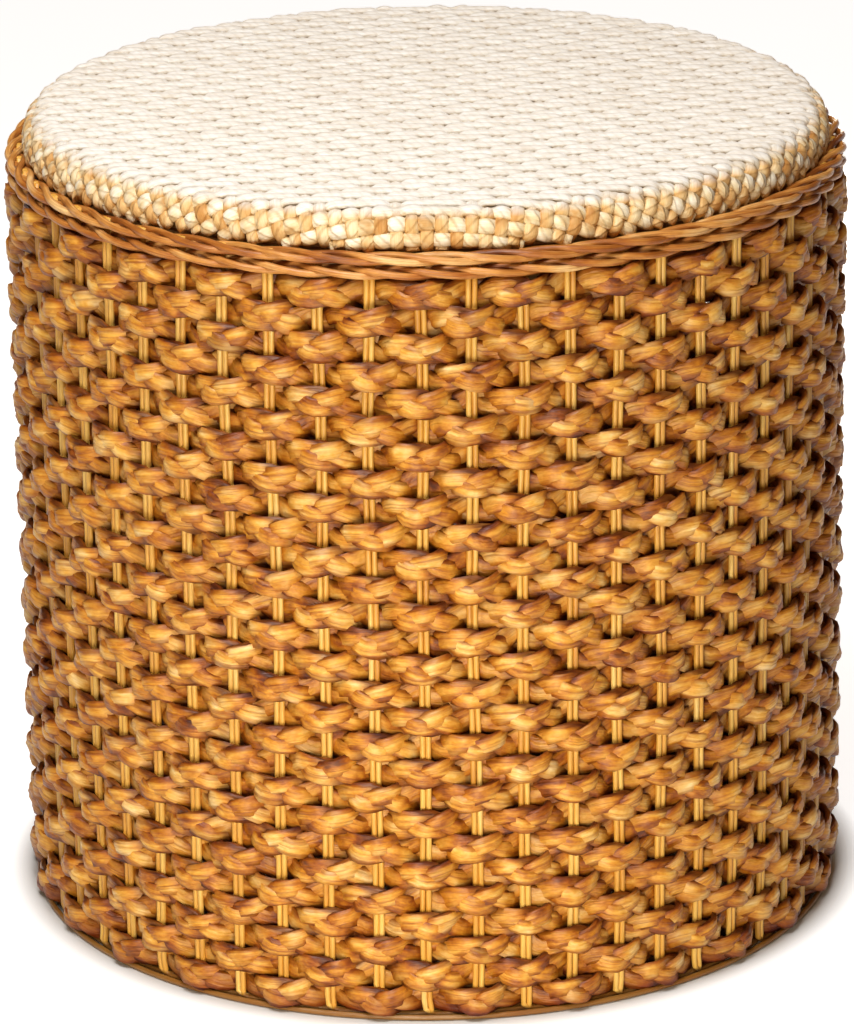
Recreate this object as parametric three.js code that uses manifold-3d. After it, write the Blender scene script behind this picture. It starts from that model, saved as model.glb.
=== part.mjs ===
// A straight-sided drum stool: a wall of plaited rope woven over and under pairs of cane
// stakes, two rows of twisted cane above it, and a cord mat over a plywood seat. Inside
// stands a frame of rattan poles. Lengths are in millimetres, +Z is up, and the origin is
// the middle of the underside. Angles run counter-clockwise from +X, seen from above.
import * as THREE from 'three';
import { mergeVertices } from 'three/addons/utils/BufferGeometryUtils.js';
import Module from 'manifold-3d';

const wasm = await Module();
wasm.setup();

const fullTurn = 2 * Math.PI;

// The whole stool
const outerRadius = 225;
const clearance = 0.3;
// A bar or band that leans past its neighbour takes this many clearances to stay clear.
const leanClearances = 1.4;
const cutOverrun = 2;

// Stakes, in pairs. An odd count lets one weaver spiral without a break.
const stakePairs = 53;
const rodDiameter = 3;
const frontStakeAngle = THREE.MathUtils.degToRad(-91.1);

// Foot border, where the stakes' ends are turned under
const footThickness = 4;
const footEdgeChamfer = 1.2;
const footSetIn = 3;

// Wall plait
const rows = 28;
const turnsPerLength = 4;
const plaitHeight = 13.83;
const plaitThickness = 7;
const rampStakes = 6;
const tailStakes = 2;

// Wale, the rows of twisted cane: one ridge comes to the face at each stake.
const waleRidge = 4;
const waleStrands = 3;
const waleStepsPerStake = 2;
// How far the flat side that faces a stake lies from the twist's middle, with some room
// for the ridge that comes in beside it.
const waleSeatShare = 0.58;

// Seat mat
const matThickness = 12;
const matSide = 20.2;
const matSetIn = 1.4;
const matCornerRadius = 14;
const matSkirtLap = 11;

// Seat board and its screws
const boardThickness = 15;
const screwDiameter = 4;
const screwHeadDiameter = 8;
const screwHeadHeight = 2.4;
const screwBiteDepth = 20;
const screwTipLength = 4;

// Rattan frame
const poleDiameter = 18;
const uprightCount = 8;
const uprightStartAngle = fullTurn / (2 * uprightCount);

// Faces round each curved piece
const hoopSteps = 32;
const poleSides = 8;
const screwSides = 6;
const seatSteps = 40;
const matCornerSteps = 3;

// Radii and heights that follow from the sizes above
const stakeAngle = fullTurn / stakePairs;
const stakeStep = (fullTurn * outerRadius) / stakePairs;
const halfPlait = plaitThickness / 2;
const halfRod = rodDiameter / 2;
// The plait leans towards the far side as it leaves a stake, so it starts further out.
const weaveReach = (halfRod + halfPlait + leanClearances * clearance) / (1 - rodDiameter / stakeStep);
const stakeRing = outerRadius - halfPlait - weaveReach;
const rowPitch = plaitHeight + clearance;
const wovenBottom = footThickness + clearance;
const wovenTop = wovenBottom + rows * rowPitch - clearance;
const waleHalfHeight = waleRidge * Math.sin(fullTurn / 6);
const waleRing = stakeRing + halfRod + clearance + waleSeatShare * waleRidge;
const lowerWaleZ = wovenTop + clearance + waleHalfHeight;
const upperWaleZ = lowerWaleZ + 2 * waleHalfHeight + clearance;
const stakeTop = upperWaleZ + waleHalfHeight;
const matEdgeZ = stakeTop + clearance;
const seatTop = matEdgeZ + matSide;
const boardTop = seatTop - matThickness - clearance;
const boardBottom = boardTop - boardThickness;
const halfPole = poleDiameter / 2;
const frameOuter = stakeRing - weaveReach - halfPlait - clearance;
const hoopRing = frameOuter - halfPole;
const topHoopZ = boardBottom - clearance - halfPole;
const bottomHoopZ = footThickness + clearance + halfPole;
const uprightBottom = bottomHoopZ + halfPole + clearance;
const uprightTop = topHoopZ - halfPole - clearance;
const innerHoopRing = hoopRing - poleDiameter - clearance;

const material = (color, roughness) =>
  new THREE.MeshStandardMaterial({ color, roughness, metalness: 0 });
const caneMaterial = material('#e0b25c', 0.5);
const plaitMaterials = [material('#b8772f', 0.75), material('#c28a42', 0.75)];
const waleMaterial = material('#a5622a', 0.6);
const matMaterial = material('#f0e6cc', 0.85);
const boardMaterial = material('#c9a878', 0.7);
const rattanMaterial = material('#c99a55', 0.6);
const screwMaterial = new THREE.MeshStandardMaterial({ color: '#b9bcc0', roughness: 0.35, metalness: 1 });

const stool = new THREE.Group();
stool.name = 'drum_stool';

function addPiece(name, geometry, pieceMaterial) {
  const piece = new THREE.Mesh(geometry, pieceMaterial.clone());
  piece.name = name;
  stool.add(piece);
  return piece;
}

// Booleans
function toSolid(geometry) {
  const bare = geometry.clone();
  bare.deleteAttribute('normal');
  bare.deleteAttribute('uv');
  const merged = mergeVertices(bare);
  const corners = merged.index.array;
  const faces = [];
  for (let i = 0; i < corners.length; i += 3) {
    const [a, b, c] = [corners[i], corners[i + 1], corners[i + 2]];
    if (a !== b && b !== c && c !== a) {
      faces.push(a, b, c);
    }
  }
  const vertProperties = new Float32Array(merged.attributes.position.array);
  return new wasm.Manifold(new wasm.Mesh({ numProp: 3, vertProperties, triVerts: new Uint32Array(faces) }));
}

function toGeometry(solid) {
  const mesh = solid.getMesh();
  const geometry = new THREE.BufferGeometry();
  geometry.setAttribute('position', new THREE.BufferAttribute(new Float32Array(mesh.vertProperties), 3));
  geometry.setIndex(new THREE.BufferAttribute(new Uint32Array(mesh.triVerts), 1));
  geometry.computeVertexNormals();
  return geometry;
}

// A revolved piece about Z. The profile is pairs of radius and height, anticlockwise.
function revolve(profile, steps) {
  const points = profile.map(([radius, z]) => new THREE.Vector2(radius, z));
  return new THREE.LatheGeometry(points, steps).rotateX(fullTurn / 4);
}

// A solid skinned over a run of sections, each patch split along its shorter diagonal. A
// ring of them closes on itself, its last section joined to the first turned on by corners.
function loft(sections, ring = false, cornersTurned = 0) {
  const sides = sections[0].length;
  const points = sections.flat();
  const faces = [];
  const spans = ring ? sections.length : sections.length - 1;
  for (let k = 0; k < spans; k += 1) {
    const next = (k + 1) % sections.length;
    const turned = next === 0 ? cornersTurned : 0;
    for (let i = 0; i < sides; i += 1) {
      const a = k * sides + i;
      const b = k * sides + ((i + 1) % sides);
      const c = next * sides + ((i + 1 + turned) % sides);
      const d = next * sides + ((i + turned) % sides);
      if (points[a].distanceTo(points[c]) < points[b].distanceTo(points[d])) {
        faces.push(a, b, c, a, c, d);
      } else {
        faces.push(a, b, d, b, c, d);
      }
    }
  }
  if (!ring) {
    const last = (sections.length - 1) * sides;
    for (let i = 1; i < sides - 1; i += 1) {
      faces.push(0, i + 1, i, last, last + i, last + i + 1);
    }
  }
  const geometry = new THREE.BufferGeometry().setFromPoints(points);
  geometry.setIndex(faces);
  geometry.computeVertexNormals();
  return geometry;
}

const onRing = (angle, radius, z) =>
  new THREE.Vector3(radius * Math.cos(angle), radius * Math.sin(angle), z);

// Stakes and foot border: the rods stand in pairs on the flat band that their own turned
// ends make. Each pair is one six-cornered bar with a ridge for either rod.
function stakeCage() {
  const footOuter = stakeRing + weaveReach + halfPlait - footSetIn;
  const footInner = hoopRing - halfPole;
  const band = revolve([
    [footInner, 0],
    [footOuter - footEdgeChamfer, 0],
    [footOuter, footEdgeChamfer],
    [footOuter, footThickness],
    [footInner, footThickness],
    [footInner, 0],
  ], stakePairs);
  const pair = new THREE.Shape([
    new THREE.Vector2(0, -rodDiameter),
    new THREE.Vector2(halfRod, -halfRod),
    new THREE.Vector2(halfRod, halfRod),
    new THREE.Vector2(0, rodDiameter),
    new THREE.Vector2(-halfRod, halfRod),
    new THREE.Vector2(-halfRod, -halfRod),
  ]);
  const rootZ = footThickness / 2;
  const depth = stakeTop - rootZ;
  let cage = toSolid(band);
  for (let i = 0; i < stakePairs; i += 1) {
    const bar = new THREE.ExtrudeGeometry(pair, { depth, bevelEnabled: false });
    bar.translate(stakeRing, 0, rootZ).rotateZ(frontStakeAngle + i * stakeAngle);
    cage = cage.add(toSolid(bar));
  }
  return toGeometry(cage);
}

// Wall plait. Places along it are counted in stakes from its start at the back. It runs
// level round the front and climbs one row in a ramp at the back, over an even stake and
// outside an odd one.
const frontStakeCount = Math.floor(stakePairs / 2);
const spiralStart = frontStakeAngle - frontStakeCount * stakeAngle;

function plaitHeightAt(stake) {
  const turn = Math.floor(stake / stakePairs);
  const ramp = (stake - turn * stakePairs - (stakePairs - rampStakes)) / rampStakes;
  return wovenBottom + plaitHeight / 2 + rowPitch * (turn + THREE.MathUtils.smoothstep(ramp, 0, 1));
}

// The section has a flat back and a crown along its outer side. At the two tails, where
// the ramp leaves a wedge, it is only as high as the wedge.
function plaitSection(stake) {
  const angle = spiralStart + stake * stakeAngle;
  const middle = stakeRing + (stake % 2 === 0 ? -weaveReach : weaveReach);
  const centre = plaitHeightAt(stake);
  const low = Math.max(centre - plaitHeight / 2, wovenBottom);
  const high = Math.min(centre + plaitHeight / 2, wovenTop);
  return [
    onRing(angle, middle - halfPlait, low),
    onRing(angle, middle - halfPlait, high),
    onRing(angle, middle + halfPlait, (low + high) / 2),
  ];
}

// A joint between two lengths is hidden behind a stake, and each end stops just short.
function plaitEnd(stake, inwards) {
  const share = clearance / stakeStep;
  const here = plaitSection(stake);
  const beyond = plaitSection(stake + inwards);
  return here.map((corner, i) => corner.clone().lerp(beyond[i], share));
}

function plaitLength(first, last) {
  const sections = [plaitEnd(first, 1)];
  for (let stake = first + 1; stake < last; stake += 1) {
    sections.push(plaitSection(stake));
  }
  sections.push(plaitEnd(last, -1));
  return loft(sections);
}

// Wale: twisted cane laid outside the stakes. The section turns one strand on from stake
// to stake, with its flat side to the stake and a ridge in the gap between two.
function wale(z) {
  const steps = stakePairs * waleStepsPerStake;
  const twistStep = fullTurn / (waleStrands * waleStepsPerStake);
  const sections = [];
  for (let k = 0; k < steps; k += 1) {
    const angle = frontStakeAngle + (k * stakeAngle) / waleStepsPerStake;
    const corners = [];
    for (let strand = 0; strand < waleStrands; strand += 1) {
      const turn = fullTurn / 4 + k * twistStep + (strand * fullTurn) / waleStrands;
      corners.push(onRing(angle, waleRing + waleRidge * Math.sin(turn), z + waleRidge * Math.cos(turn)));
    }
    sections.push(corners);
  }
  return loft(sections, true, stakePairs % waleStrands);
}

// Seat mat: flat on top, rounded over at the edge and down to the wale, with a skirt
// tucked between the stakes and the edge of the board.
function seatMat() {
  const edge = stakeRing - matSetIn;
  const skirtOuter = stakeRing - halfRod - clearance;
  const skirtInner = frameOuter + clearance;
  const skirtBottom = boardTop - matSkirtLap;
  const corner = [];
  for (let i = 0; i <= matCornerSteps; i += 1) {
    const turn = (fullTurn / 4) * (i / matCornerSteps);
    corner.push([
      edge - matCornerRadius * (1 - Math.cos(turn)),
      seatTop - matCornerRadius * (1 - Math.sin(turn)),
    ]);
  }
  return revolve([
    [0, boardTop + clearance],
    [skirtInner, boardTop + clearance],
    [skirtInner, skirtBottom],
    [skirtOuter, skirtBottom],
    [skirtOuter, matEdgeZ],
    [edge, matEdgeZ],
    ...corner,
    [0, seatTop],
  ], seatSteps);
}

// Board screws: countersunk, through the board and the top hoop into an upright.
const screwHole = screwDiameter / 2 + clearance;
const screwHeadRadius = screwHeadDiameter / 2;
const screwTip = uprightTop - screwBiteDepth;

function boardScrew() {
  return revolve([
    [0, screwTip],
    [screwDiameter / 2, screwTip + screwTipLength],
    [screwDiameter / 2, boardTop - screwHeadHeight],
    [screwHeadRadius, boardTop],
    [0, boardTop],
  ], screwSides);
}

function screwCutter() {
  return revolve([
    [0, screwTip - cutOverrun],
    [screwHole, screwTip - cutOverrun],
    [screwHole, boardTop - screwHeadHeight - clearance],
    [screwHeadRadius + clearance, boardTop - clearance],
    [screwHeadRadius + clearance, boardTop + cutOverrun],
    [0, boardTop + cutOverrun],
  ], screwSides);
}

const uprightAngles = [];
for (let i = 0; i < uprightCount; i += 1) {
  uprightAngles.push(uprightStartAngle + (i * fullTurn) / uprightCount);
}

function drilled(geometry) {
  let solid = toSolid(geometry);
  for (const angle of uprightAngles) {
    const cutter = screwCutter().translate(hoopRing, 0, 0).rotateZ(angle);
    solid = solid.subtract(toSolid(cutter));
  }
  return toGeometry(solid);
}

function seatBoard() {
  const disc = revolve([
    [0, boardBottom],
    [frameOuter, boardBottom],
    [frameOuter, boardTop],
    [0, boardTop],
  ], seatSteps);
  return drilled(disc);
}

function hoop(ring, z) {
  return new THREE.TorusGeometry(ring, halfPole, poleSides, hoopSteps).translate(0, 0, z);
}

// An upright is bored in its top end for the screw.
function upright() {
  return revolve([
    [0, uprightBottom],
    [halfPole, uprightBottom],
    [halfPole, uprightTop],
    [screwHole, uprightTop],
    [screwHole, screwTip - clearance],
    [0, screwTip - clearance],
  ], poleSides);
}

// Seat rails lie level with the top hoop, from the long rail or the middle to the hoop.
const railReach = hoopRing * Math.cos(Math.PI / hoopSteps) - halfPole - clearance;

function rail(from, to) {
  const pole = new THREE.CylinderGeometry(halfPole, halfPole, to - from, poleSides);
  return pole.rotateZ(fullTurn / 4).translate((from + to) / 2, 0, topHoopZ);
}

addPiece('stake_cage', stakeCage(), caneMaterial);
const stakesPerLength = turnsPerLength * stakePairs;
const plaitFirst = tailStakes - rampStakes;
const plaitLast = rows * stakePairs - tailStakes;
const lengthCount = Math.ceil(rows / turnsPerLength);
for (let i = 0; i < lengthCount; i += 1) {
  const first = i === 0 ? plaitFirst : i * stakesPerLength;
  const last = i === lengthCount - 1 ? plaitLast : (i + 1) * stakesPerLength;
  addPiece(`plait_length_${i + 1}`, plaitLength(first, last), plaitMaterials[i % plaitMaterials.length]);
}
addPiece('wale_lower', wale(lowerWaleZ), waleMaterial);
addPiece('wale_upper', wale(upperWaleZ), waleMaterial);
addPiece('bottom_hoop', hoop(hoopRing, bottomHoopZ), rattanMaterial);
addPiece('middle_hoop', hoop(innerHoopRing, (bottomHoopZ + topHoopZ) / 2), rattanMaterial);
addPiece('top_hoop', drilled(hoop(hoopRing, topHoopZ)), rattanMaterial);
uprightAngles.forEach((angle, i) => {
  const pole = addPiece(`upright_${i + 1}`, upright(), rattanMaterial);
  pole.position.copy(onRing(angle, hoopRing, 0));
  const screw = addPiece(`board_screw_${i + 1}`, boardScrew(), screwMaterial);
  screw.position.copy(onRing(angle, hoopRing, 0));
  screw.rotation.z = angle;
});
addPiece('seat_rail_long', rail(-railReach, railReach), rattanMaterial);
const halfRails = { seat_rail_front: -fullTurn / 4, seat_rail_back: fullTurn / 4 };
for (const [name, angle] of Object.entries(halfRails)) {
  addPiece(name, rail(halfPole + clearance, railReach), rattanMaterial).rotation.z = angle;
}
addPiece('seat_board', seatBoard(), boardMaterial);
addPiece('seat_mat', seatMat(), matMaterial);

export default stool;
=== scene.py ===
# %% [markdown]
# # A drum stool in plaited rope, cane and cord
#
# The stool is a straight drum. Its wall is a three-strand plait woven over and under pairs
# of thin cane stakes, with two rows of twisted brown cane above it. A mat of pale cord
# covers a plywood board and turns down at the edge, and a frame of rattan poles stands
# inside.
#
# The CAD model fixes each piece's place and size, and shows the woven pieces as plain bands
# and bars. The weave could be drawn on these as a bump, but then it would have no gaps, and
# its outline would be smooth. So each woven piece is made again from its real strands: they
# are laid out straight, as on a bench, and then bent onto the drum. Lengths are in
# millimetres until a mesh is made.

import bmesh
import bpy
import numpy as np
from mathutils import Matrix, Vector


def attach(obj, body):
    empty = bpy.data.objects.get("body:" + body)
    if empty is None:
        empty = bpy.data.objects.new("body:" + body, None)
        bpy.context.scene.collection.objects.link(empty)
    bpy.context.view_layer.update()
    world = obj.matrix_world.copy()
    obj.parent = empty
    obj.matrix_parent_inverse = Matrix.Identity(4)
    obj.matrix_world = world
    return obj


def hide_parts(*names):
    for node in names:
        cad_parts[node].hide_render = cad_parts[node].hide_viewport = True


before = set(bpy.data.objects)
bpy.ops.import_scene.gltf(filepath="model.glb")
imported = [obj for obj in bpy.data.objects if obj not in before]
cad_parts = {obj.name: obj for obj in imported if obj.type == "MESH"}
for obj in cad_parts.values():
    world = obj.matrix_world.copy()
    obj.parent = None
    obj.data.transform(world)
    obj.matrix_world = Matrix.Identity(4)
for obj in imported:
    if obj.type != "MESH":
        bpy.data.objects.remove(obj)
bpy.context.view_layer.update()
print("nodes in the frame:", len(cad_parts))

# %% [markdown]
# ## The ring of stakes
#
# Everything on the wall is placed by its stakes, as a weaver counts them: 53 pairs stand in
# a ring, and a number of stakes says how far round a point is. The count is odd, so that
# each row of the plait passes over the stakes that the row below passes under. One seeded
# source of random numbers makes everything uneven, and so each run gives the same stool.

# %% Stake count and spacing
MM = 0.001
FULL_TURN = 2 * np.pi
STAKES = 53
STAKE_ANGLE = FULL_TURN / STAKES
FRONT_STAKE = np.radians(-91.1)
STAKE_RING = 215.39
STAKE_STEP = STAKE_RING * STAKE_ANGLE
rng = np.random.default_rng(53)
print("a stake pair every", round(STAKE_STEP, 2), "mm")

# %% [markdown]
# ## Helpers for the materials
#
# Colours are written in sRGB hex, as a colour picker shows them. Blender reckons in linear
# light, so one function turns them. Another adds any shader node, sets its values and links
# it, so that a material reads from top to bottom, each line taking what the ones before it
# made.

# %% Colours and shader nodes
def linear(hex_colour):
    """An sRGB hex colour as linear RGBA."""
    channels = [int(hex_colour[i : i + 2], 16) / 255 for i in (1, 3, 5)]
    curve = [c / 12.92 if c <= 0.04045 else ((c + 0.055) / 1.055) ** 2.4 for c in channels]
    return (*curve, 1.0)


def add_node(material, kind, inputs, output=0, stops=(), **settings):
    """Adds a shader node and gives one of its outputs.

    Each input is a value, or the output of another node. Stops are the places and hex
    colours of a colour ramp.
    """
    node = material.node_tree.nodes.new("ShaderNode" + kind)
    for name, value in settings.items():
        setattr(node, name, value)
    for name, value in inputs.items():
        if isinstance(value, bpy.types.NodeSocket):
            material.node_tree.links.new(value, node.inputs[name])
        else:
            node.inputs[name].default_value = value
    if stops:
        elements = node.color_ramp.elements
        while len(elements) < len(stops):
            elements.new(0.5)
        for element, (place, colour) in zip(elements, stops):
            element.position = place
            element.color = linear(colour)
    return node.outputs[output]


print("white in linear light:", linear("#FFFFFF"))

# %% [markdown]
# A number that is the same all over a piece, such as its roughness, is set on the
# Principled shader's own socket. Colour and relief change over the piece, so they are
# linked.

# %% Materials
def new_material(name, values):
    """A new material, with values set on its Principled shader."""
    material = bpy.data.materials.new(name)
    material.use_nodes = True
    for socket, value in values.items():
        material.node_tree.nodes["Principled BSDF"].inputs[socket].default_value = value
    return material


def link_shader(material, outputs):
    """Links node outputs to the sockets of a material's Principled shader."""
    shader = material.node_tree.nodes["Principled BSDF"]
    for socket, output in outputs.items():
        material.node_tree.links.new(output, shader.inputs[socket])
    print("material:", material.name)


print("material helpers ready")

# %% [markdown]
# ## Camera
#
# The camera stands in front and a little above, at the photograph's viewing angle, and is
# rolled by three quarters of a degree. Its lens is long: from nearer by, a wide lens would
# show less of the top and make the drum narrower at the foot.

# %% Camera
CAMERA_PLACE = Vector((0.0, -2.684, 1.156))
CAMERA_PITCH = np.radians(19.578)
CAMERA_YAW = np.radians(0.038)
CAMERA_ROLL = np.radians(-0.75)
LENS = 184.1
SENSOR_WIDTH = 36.0

camera_data = bpy.data.cameras.new("camera")
camera_data.lens = LENS
camera_data.sensor_width = SENSOR_WIDTH
camera = bpy.data.objects.new("camera", camera_data)
bpy.context.collection.objects.link(camera)
tilt = Matrix.Rotation(np.pi / 2 - CAMERA_PITCH, 4, "X")
turn = Matrix.Rotation(CAMERA_YAW, 4, "Z") @ tilt @ Matrix.Rotation(CAMERA_ROLL, 4, "Z")
camera.matrix_world = Matrix.Translation(CAMERA_PLACE) @ turn
bpy.context.scene.camera = camera
print("camera at", tuple(round(x, 3) for x in CAMERA_PLACE))

# %% [markdown]
# ## Floor
#
# The floor is pale paint, and white to the camera. Brighter lamps would whiten it too, but
# would bleach the stool with it. So the floor glows instead, and only where the camera or a
# reflection sees it, which leaves the stool's shadow on it and throws no light on the wall.
# Under the stool it doesn't glow, so that no light shows through the weave.

# %% Floor
FLOOR_SIZE = 60.0
GLOW = 0.85
GLOW_FROM = 0.222
GLOW_FULL = 0.24

floor_finish = new_material("pale_floor", {
    "Roughness": 0.9,
    "Specular IOR Level": 0.2,
    "Base Color": linear("#D2D1CE"),
    "Emission Color": linear("#FFFFFF"),
})
place = add_node(floor_finish, "TexCoord", {}, "Object")
from_axis = add_node(floor_finish, "VectorMath", {0: place}, "Value", operation="LENGTH")
outside = {"Value": from_axis, "From Min": GLOW_FROM, "From Max": GLOW_FULL, "To Max": GLOW}
outside = add_node(floor_finish, "MapRange", outside)
seen = 0.0
for ray in ("Is Camera Ray", "Is Glossy Ray", "Is Transmission Ray"):
    ray = add_node(floor_finish, "LightPath", {}, ray)
    seen = add_node(floor_finish, "Math", {0: seen, 1: ray}, operation="MAXIMUM")
glow = add_node(floor_finish, "Math", {0: seen, 1: outside}, operation="MULTIPLY")
link_shader(floor_finish, {"Emission Strength": glow})

bpy.ops.mesh.primitive_plane_add(size=FLOOR_SIZE)
floor = bpy.context.object
floor.name = "floor"
floor.data.materials.append(floor_finish)
print("floor:", FLOOR_SIZE, "m wide")

# %% [markdown]
# ## Light
#
# The wall is brightest in the middle and falls off into shade on both sides. A lamp far
# away would light it more evenly, so the front lamp is near and low. A weak one close to
# the floor lifts the lower rows. The overhead lamp hangs in front and to the left, and
# lights the seat. A lamp behind the stool, lower than the seat, lights the back alone. The
# world hardly fills the shadows, and is warm, as light between dry stems is.

# %% Lamps and world
# Each lamp: place and aim in metres, size in metres, power in watts, and colour.
lamps = {
    "front": ((-0.09, -1.0, 0.17), (0.0, 0.0, 0.17), 0.35, 4.4, "#FFF2DA"),
    "low": ((-0.01, -0.58, 0.05), (0.0, -0.2, 0.07), 0.2, 0.62, "#FFF4E0"),
    "overhead": ((-0.27, -0.78, 1.8), (0.0, 0.0, 0.43), 0.8, 31.5, "#FFFDFC"),
    "back": ((0.3, 1.4, 0.28), (0.0, 0.0, 0.2), 0.3, 6.0, "#FFF2DC"),
}
for name, (place, aim, size, power, colour) in lamps.items():
    lamp = bpy.data.lights.new(name, "AREA")
    lamp.size = size
    lamp.energy = power
    lamp.color = linear(colour)[:3]
    light = bpy.data.objects.new(name, lamp)
    bpy.context.collection.objects.link(light)
    light.visible_camera = False
    light.location = place
    light.rotation_euler = (Vector(aim) - Vector(place)).to_track_quat("-Z", "Y").to_euler()

world = bpy.data.worlds.new("studio")
world.use_nodes = True
world.node_tree.nodes["Background"].inputs["Color"].default_value = linear("#FFC488")
world.node_tree.nodes["Background"].inputs["Strength"].default_value = 0.12
bpy.context.scene.world = world
bpy.context.scene.view_settings.view_transform = "Standard"
print("lamps:", ", ".join(lamps))

# %% [markdown]
# ## Helpers for the pieces
#
# Each strand, rod and pole keeps one section along its whole length. Blender's curves do
# just this: a bevel carries a section along a path. Extruding ring after ring would give
# the same tube with more work. Points on the drum are given by angle, radius and height.

# %% Sections and paths
def oval(half_width, half_height, corners, power=1.0):
    """A section's corners, from the underside round. A power below 1 makes it squarer."""
    angle = np.linspace(0, FULL_TURN, corners, endpoint=False) - np.pi / 2
    sides = np.stack([np.cos(angle), np.sin(angle)], axis=1)
    return np.sign(sides) * np.abs(sides) ** power * (half_width, half_height)


def on_drum(angle, radius, z):
    """Points at an angle, a radius and a height."""
    x, y = radius * np.cos(angle), radius * np.sin(angle)
    return np.column_stack([x, y, z * np.ones_like(angle)])


def path_curve(name, lines, closed, widths=None, twist="Z_UP"):
    """A curve object of straight-jointed splines through points in millimetres."""
    curve = bpy.data.curves.new(name, "CURVE")
    curve.dimensions = "3D"
    curve.twist_mode = twist
    for i, line in enumerate(lines):
        spline = curve.splines.new("POLY")
        spline.points.add(len(line) - 1)
        points = np.column_stack([line * MM, np.ones(len(line))])
        spline.points.foreach_set("co", points.ravel())
        spline.use_cyclic_u = closed
        if widths is not None:
            spline.points.foreach_set("radius", widths[i])
    return bpy.data.objects.new(name, curve)


def swept_mesh(name, lines, section, closed, widths, twist):
    """The bare mesh of a section carried along lines."""
    flat_section = np.column_stack([section, np.zeros(len(section))])
    outline = path_curve(name + "_section", [flat_section], True)
    path = path_curve(name + "_path", lines, closed, widths, twist)
    path.data.bevel_mode = "OBJECT"
    path.data.bevel_object = outline
    for helper in (outline, path):
        bpy.context.collection.objects.link(helper)
    evaluated = path.evaluated_get(bpy.context.evaluated_depsgraph_get())
    mesh = bpy.data.meshes.new_from_object(evaluated)
    mesh.name = name
    for helper in (path, outline):
        bpy.data.objects.remove(helper)
    assert len(mesh.vertices) == sum(map(len, lines)) * len(section), name
    return mesh


print("corners of a round section of 8:", len(oval(1, 1, 8)))

# %% [markdown]
# Nothing woven by hand is even, and dried stems are creased. Random numbers for each point
# would look like sandpaper. A few slow waves of uneven length, added up, drift as a hand
# does, and the same drift moves each corner of a stem's section in and out for its creases.

# %% Unevenness
WAVE_PARTS = (1.0, 0.61, 0.37)
WAVE_SUM = 1.2
WAVE_SPREAD = 0.4
CREASE_LENGTH = 40


def wander(places, size, wavelength):
    """An uneven drift along places, about as large as size."""
    total = np.zeros_like(places, dtype=float)
    for part in WAVE_PARTS:
        phase = rng.random() * FULL_TURN
        length = wavelength * part * (1 - WAVE_SPREAD / 2 + WAVE_SPREAD * rng.random())
        total += part * np.sin(FULL_TURN * places / length + phase)
    return size * total / WAVE_SUM


def crease_strands(points, lines, runs, section, crease):
    """Moves each corner of the section in and out as the strand goes along."""
    rows = [
        np.concatenate([wander(run, crease, CREASE_LENGTH) for run in runs])
        for _ in section
    ]
    centres = np.repeat(np.concatenate(lines), len(section), axis=0)
    return centres + (points - centres) * (1 + np.column_stack(rows).reshape(-1, 1))


print("drift over", WAVE_PARTS, "of a wavelength")

# %% [markdown]
# Each point of a piece keeps three numbers in an attribute called lay: how far along its
# strand it lies, how far round it, and which strand it is on. The materials read these
# instead of a place in space, so fibres follow the strands however these are bent, and no
# two strands look alike. Strands that are bent onto the drum also keep a crown value, which
# is 1 on the outermost faces and falls towards 0 in the folds. The materials darken where
# it is low, as painted shade.

# %% Sweeping a piece
NUMBER_SHIFT = 50


def record_lay(mesh, runs, section):
    """Keeps each point's place along and round its strand, and the strand's number.

    The numbers start at a random place, so that no two pieces have the same pattern.
    """
    edges = np.linalg.norm(np.roll(section, -1, axis=0) - section, axis=1)
    round_it = np.concatenate([[0], np.cumsum(edges)[:-1]]) - edges.sum() / 2
    number = np.concatenate([np.full(len(run), i) for i, run in enumerate(runs)])
    lay = np.column_stack([
        np.repeat(np.concatenate(runs) * MM, len(section)),
        np.tile(round_it * MM, len(number)),
        np.repeat(number, len(section)) + rng.random() * NUMBER_SHIFT,
    ])
    kept = mesh.attributes.new("lay", "FLOAT_VECTOR", "POINT")
    kept.data.foreach_set("vector", lay.ravel())


def close_ends(mesh):
    """Fills the open ends, and shades the sides smooth but not the ends."""
    shell = bmesh.new()
    shell.from_mesh(mesh)
    open_edges = [edge for edge in shell.edges if edge.is_boundary]
    bmesh.ops.holes_fill(shell, edges=open_edges, sides=0)
    shell.to_mesh(mesh)
    shell.free()
    is_side = [len(face.vertices) == 4 for face in mesh.polygons]
    mesh.polygons.foreach_set("use_smooth", is_side)


def sweep(
    name, lines, section, closed=False, widths=None, bend=None, twist="Z_UP", crease=0.0
):
    """A piece made by sweeping a section along lines, and then bending it by a function."""
    mesh = swept_mesh(name, lines, section, closed, widths, twist)
    steps = [np.linalg.norm(np.diff(line, axis=0), axis=1) for line in lines]
    runs = [np.concatenate([[0], np.cumsum(lengths)]) for lengths in steps]
    record_lay(mesh, runs, section)
    points = np.empty(len(mesh.vertices) * 3)
    mesh.vertices.foreach_get("co", points)
    points = points.reshape(-1, 3) / MM
    if crease:
        points = crease_strands(points, lines, runs, section, crease)
    if bend is not None:
        # The bend also gives a value that the materials darken by, as painted shade.
        points, crown_shade = bend(points)
        mesh.attributes.new("crown_shade", "FLOAT", "POINT").data.foreach_set("value", crown_shade)
    mesh.vertices.foreach_set("co", (points * MM).ravel())
    close_ends(mesh)
    mesh.update()
    piece = bpy.data.objects.new(name, mesh)
    bpy.context.collection.objects.link(piece)
    return piece


def finish_piece(piece, material, replaced=()):
    """Gives a piece its material, and fixes it to the frame."""
    piece.data.materials.clear()
    piece.data.materials.append(material)
    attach(piece, "root")
    if replaced:
        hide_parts(*replaced)
    triangles = sum(len(face.vertices) - 2 for face in piece.data.polygons)
    print(piece.name, "triangles:", triangles)


print("sweeping ready")

# %% [markdown]
# ## The plait's finish
#
# The plait is dried water plant. Its stems go from straw to brown along their length, in
# patches, and were pressed as they were plaited. An even noise in space would run across
# the strands, so every pattern is stretched along the strand: the scales are how many cells
# fit in a metre, along it and round it.

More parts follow.
